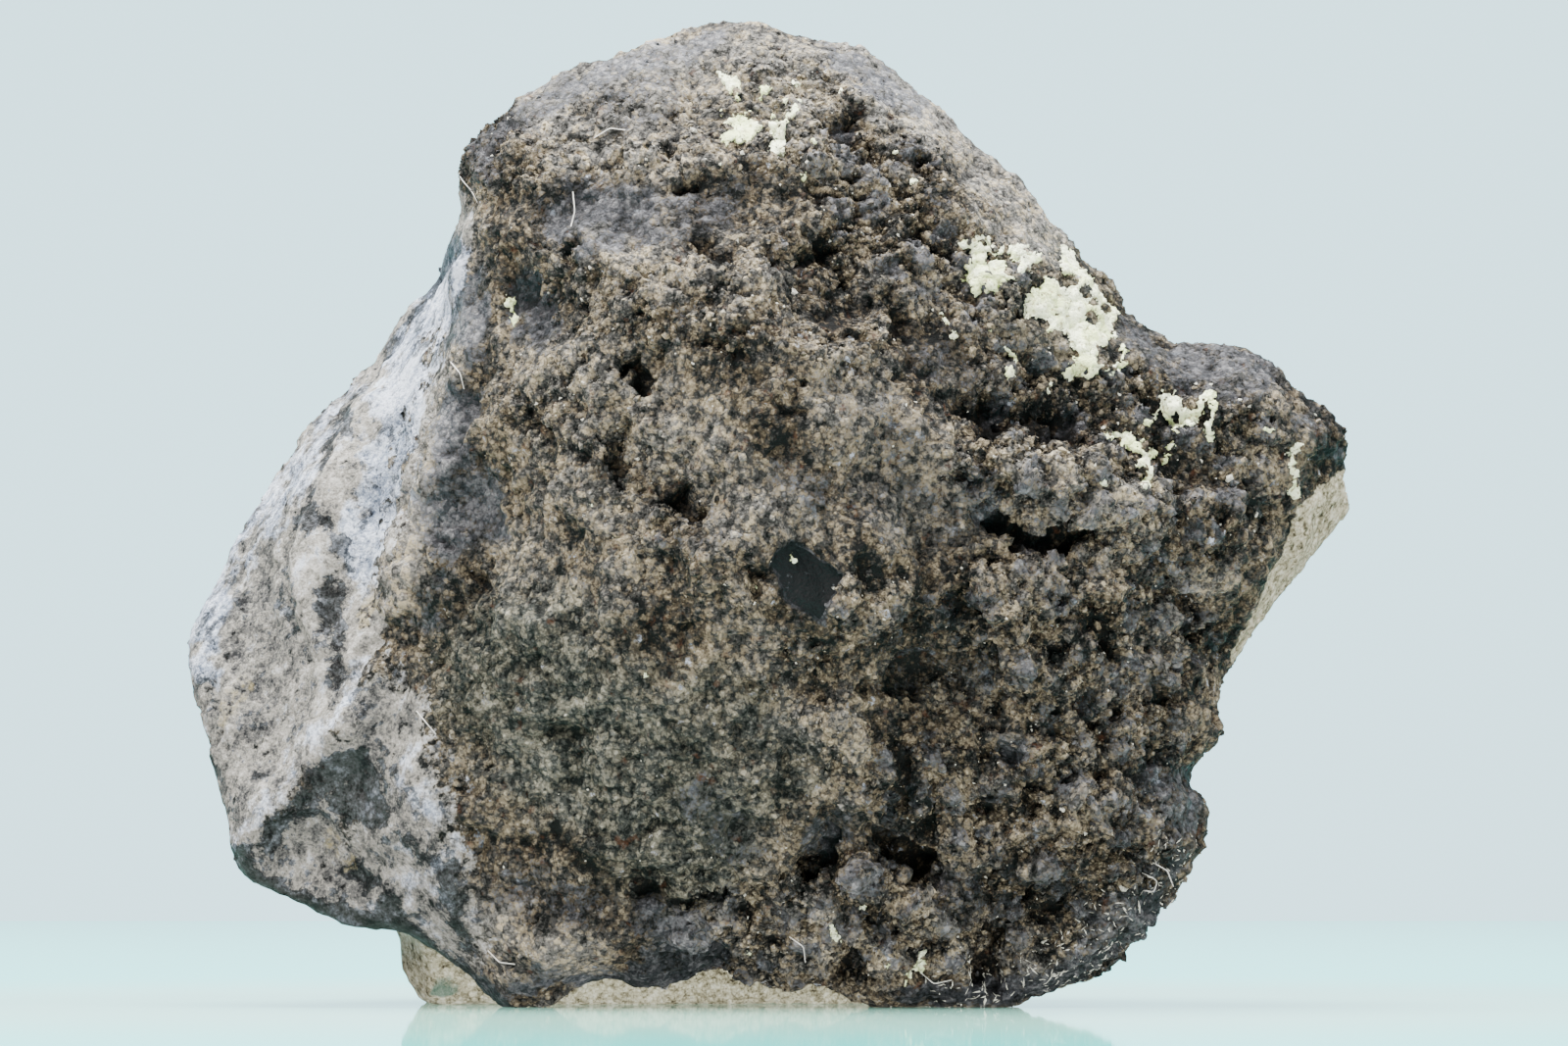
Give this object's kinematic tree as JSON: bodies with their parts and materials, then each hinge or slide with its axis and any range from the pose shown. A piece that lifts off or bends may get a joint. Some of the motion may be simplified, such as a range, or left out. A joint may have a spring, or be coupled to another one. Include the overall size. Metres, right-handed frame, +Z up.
{
  "type": "kladnoite mineral specimen",
  "caption": "Rough hand-sized lump of dark burnt slate with a pale fractured flank and thin pale yellow-green mineral crusts on its crumbly front face.",
  "frame": {"origin": "middle of the bounding box at its base, on the surface that the specimen rests on", "axes": "+Z up, -Y towards the crumbly face that is shown, +X towards the pointed spur on the right of that face"},
  "size_m": [0.0608, 0.04, 0.0513],
  "materials": {
    "burnt_slate": "matte",
    "pale_crust": "matte"
  },
  "bodies": {
    "root": {"burnt_slate_matrix": "burnt_slate", "crust_top_flake": "pale_crust", "crust_crest_patch": "pale_crust", "crust_crest_sliver": "pale_crust", "crust_shoulder_left": "pale_crust", "crust_shoulder_right": "pale_crust", "crust_shoulder_drip": "pale_crust", "crust_spur_arch": "pale_crust", "crust_spur_drip": "pale_crust", "crust_rim_streak": "pale_crust"}
  },
  "joints": []
}
